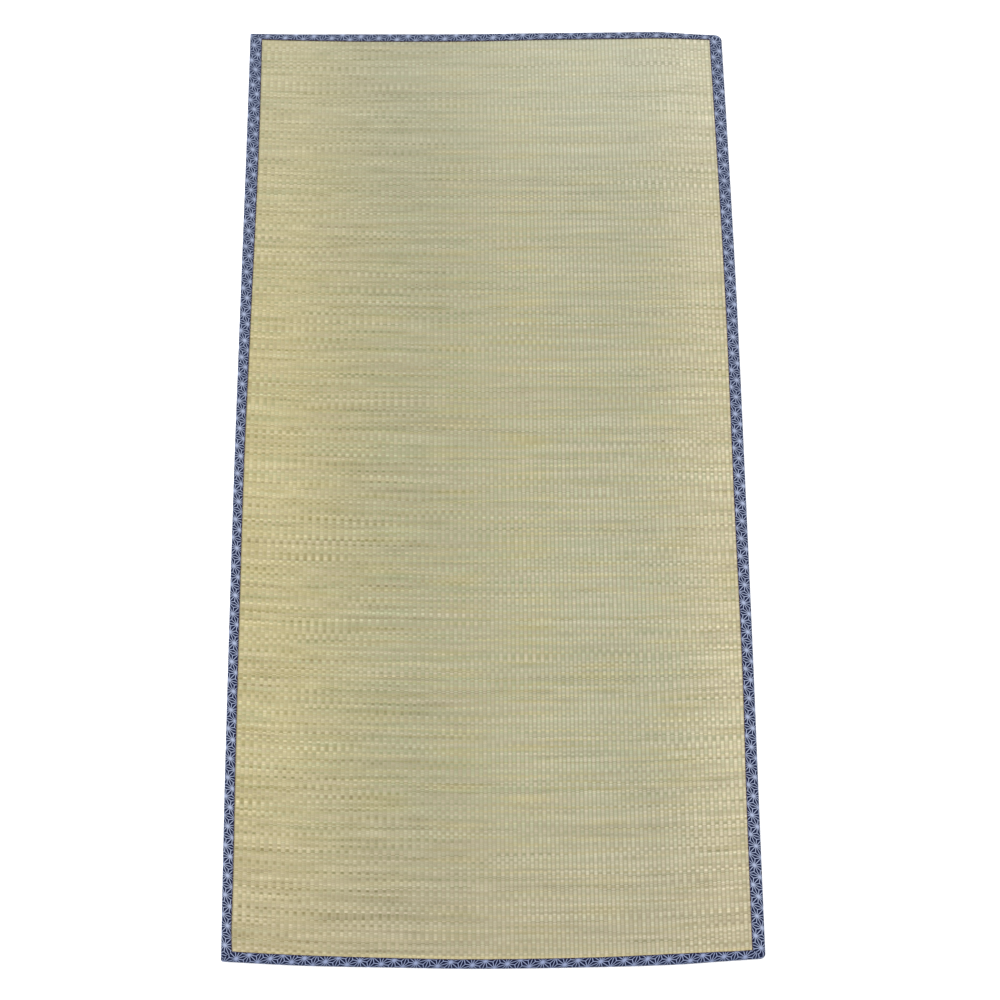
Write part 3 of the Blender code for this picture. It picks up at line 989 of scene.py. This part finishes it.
# %% [markdown]
# ## The seams
#
# A line of machine stitches runs just outside each tape's inner edge. A stitch is a short length of thread
# that dips into the cloth at both ends. One is modelled from a cylinder, an Array modifier repeats it, and
# a Curve modifier lays the row along the tape.

# %% A line to sew along
def seam_line(edge):
    """Points along the seam, on the pressed cotton."""
    sections = tape_sections(edge) - np.tile(MIDDLE, 2)
    outer, inner = sections[:, :2], sections[:, 2:]
    width = np.abs((inner - outer) @ np.array(OUTWARD[edge], float))[:, None]
    height = tape_surface(edge, np.array([[1.0, -SEAM_INSET, EDGE_HEIGHT]]))[0][:, 0, 2]
    return np.column_stack([inner + (outer - inner) * SEAM_INSET / width, height])


def path_through(points):
    """A curve through points, for a row of stitches to follow."""
    bpy.ops.object.select_all(action="DESELECT")
    bpy.ops.curve.primitive_nurbs_path_add()
    path = bpy.context.object
    path.data.splines.clear()
    spline = path.data.splines.new("POLY")
    spline.points.add(len(points) - 1)
    spline.points.foreach_set("co", np.column_stack([points, np.ones(len(points))]).ravel())
    path.data.twist_mode = "Z_UP"
    return path


seam_lines = {edge: seam_line(edge) for edge in EDGES}
print("the seams lie", np.round(seam_lines["left"][:, 2].mean() / MM, 2), "mm over the floor")

# %% One stitch
THREAD_RADIUS = 0.24 * MM
STITCH_LENGTH, STITCH_SIDES = 3.0 * MM, 6
STITCH_CUTS = (0.2, 0.5, 0.8)  # where a stitch is divided along its length, so that it can bend
STITCH_DIP, STITCH_TAPER = 0.28 * MM, 0.35  # how far its ends sink, and how much thinner they are


def one_stitch(name):
    """A thread along X whose ends dip: a cylinder, divided and then bent by moving its rings."""
    bpy.ops.object.select_all(action="DESELECT")
    bpy.ops.mesh.primitive_cylinder_add(
        vertices=STITCH_SIDES, radius=THREAD_RADIUS, depth=STITCH_LENGTH,
        location=(STITCH_LENGTH / 2, 0, 0), rotation=(0, math.radians(90), 0))
    stitch = bpy.context.object
    stitch.name = stitch.data.name = name
    bpy.ops.object.transform_apply(location=True, rotation=True, scale=True)
    for share in STITCH_CUTS:
        at = (share * STITCH_LENGTH, 0, 0)
        in_edit_mode(lambda: bpy.ops.mesh.bisect(plane_co=at, plane_no=(1, 0, 0)))
    places = read(stitch.data.vertices, "co", size=3)
    from_middle = np.abs(places[:, 0] / STITCH_LENGTH * 2 - 1)
    places[:, 1:] *= (1 - STITCH_TAPER * from_middle**4)[:, None]
    places[:, 2] -= STITCH_DIP * from_middle**3
    set_places(stitch.data, places)
    return stitch


print("a stitch is", round(STITCH_LENGTH / MM, 1), "by", round(THREAD_RADIUS * 2 / MM, 2), "mm")

# %% Sew the tapes down
STITCH_PITCH = 3.6 * MM


def sewn_seam(points, name):
    """One stitch, repeated by an Array modifier and laid along the seam's line by a Curve modifier."""
    reach = float(np.linalg.norm(np.diff(points, axis=0), axis=1).sum())
    stitches = int(reach / STITCH_PITCH) - 1
    path = path_through(points)
    seam = one_stitch(name)
    row = seam.modifiers.new("row", "ARRAY")
    row.use_relative_offset, row.use_constant_offset = False, True
    row.constant_offset_displace, row.count = (STITCH_PITCH, 0, 0), stitches
    along = seam.modifiers.new("along", "CURVE")
    along.object, along.deform_axis = path, "POS_X"
    for modifier in ("row", "along"):
        bpy.ops.object.modifier_apply(modifier=modifier)
    bpy.ops.object.shade_smooth_by_angle(angle=math.radians(60))
    bpy.data.objects.remove(path)
    print(name, stitches, "stitches,", len(seam.data.polygons), "faces")
    return seam


seams = {edge: sewn_seam(points, f"seam_{edge}") for edge, points in seam_lines.items()}

# %% Thread
THREAD_BLUE, THREAD_LIGHT = rgb(34, 38, 84), rgb(70, 76, 128)
THREAD_TWIST, THREAD_RELIEF = 0.35 * MM, 0.05 * MM


def thread_finish():
    """Twisted thread, whose plies are a slanting stripe."""
    f = Finish("sewing_thread")
    x, y, z = f.place()
    ply = abs(((x + y + z * 2) / THREAD_TWIST) % 2 - 1)
    colour = f.blend(THREAD_BLUE, THREAD_LIGHT, ply * 0.5)
    return f.dress(ply, THREAD_RELIEF, Base_Color=colour, Roughness=0.55 + ply * 0.1)


thread = thread_finish()
for seam in seams.values():
    seam.data.materials.append(thread)
print("the thread's finish has", len(thread.node_tree.nodes), "nodes")

# %% [markdown]
# ## Hand the pieces over
#
# Every piece rides on the mat's one body. The strips and the tapes stand for the solids, and the seams
# come on top.

for strip in weave:
    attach(strip, "root")
    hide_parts("woven_panel")

for edge, (tape, cut) in tapes.items():
    seam = seams[edge]
    for piece in (tape, seam):
        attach(piece, "root")
    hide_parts(f"tape_{edge}")
